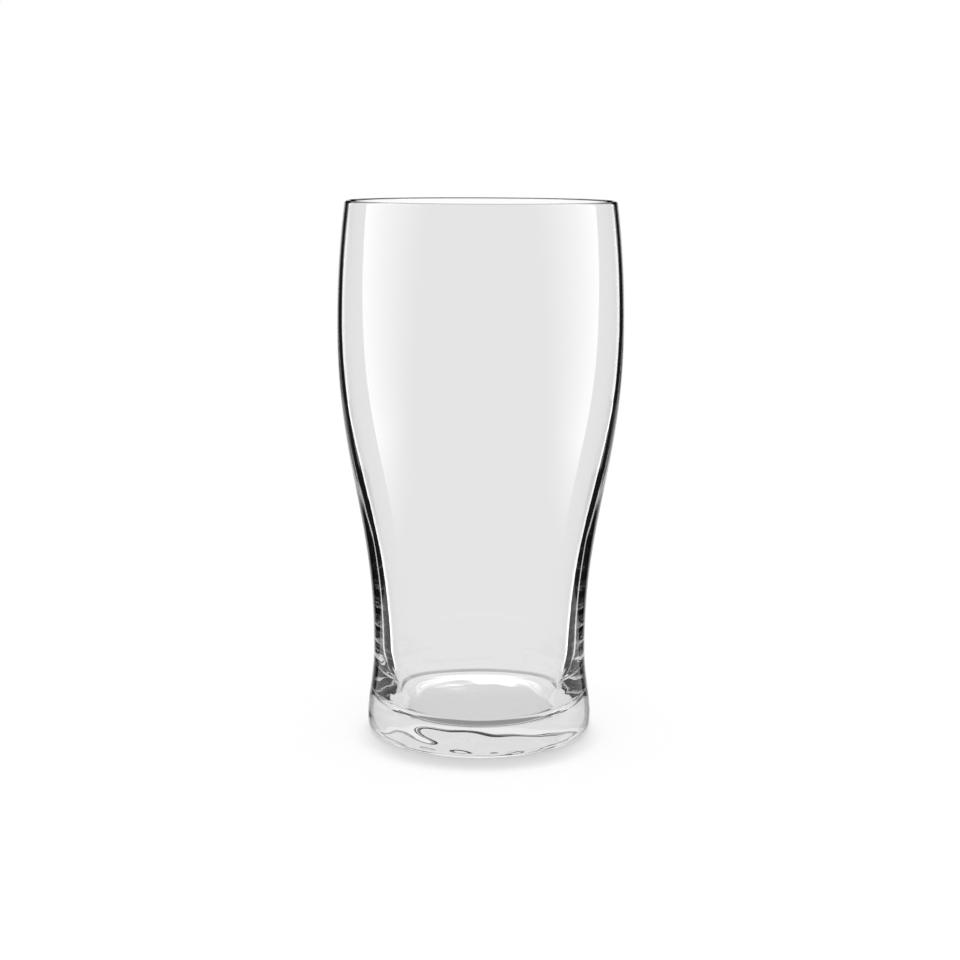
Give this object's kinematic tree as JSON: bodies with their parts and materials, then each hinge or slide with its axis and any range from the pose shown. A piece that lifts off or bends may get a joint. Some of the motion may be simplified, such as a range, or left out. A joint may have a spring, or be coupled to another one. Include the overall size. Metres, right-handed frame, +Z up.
{
  "type": "tulip beer glass",
  "caption": "Tall clear drinking glass with a heavy round foot, a narrow waist and a wide belly that draws in to a rounded rim, for beer and other cold drinks.",
  "frame": {"origin": "centre of the foot on the surface that the glass stands on", "axes": "+Z up along the axis of the glass, from the foot to the rim; X and Y are alike, because the glass is round"},
  "size_m": [0.0834, 0.0834, 0.157],
  "materials": {
    "clear_glass": "clear, colourless, fire-polished soda-lime glass"
  },
  "bodies": {
    "root": {"foot": "clear_glass", "bowl": "clear_glass", "rim": "clear_glass"}
  },
  "joints": []
}
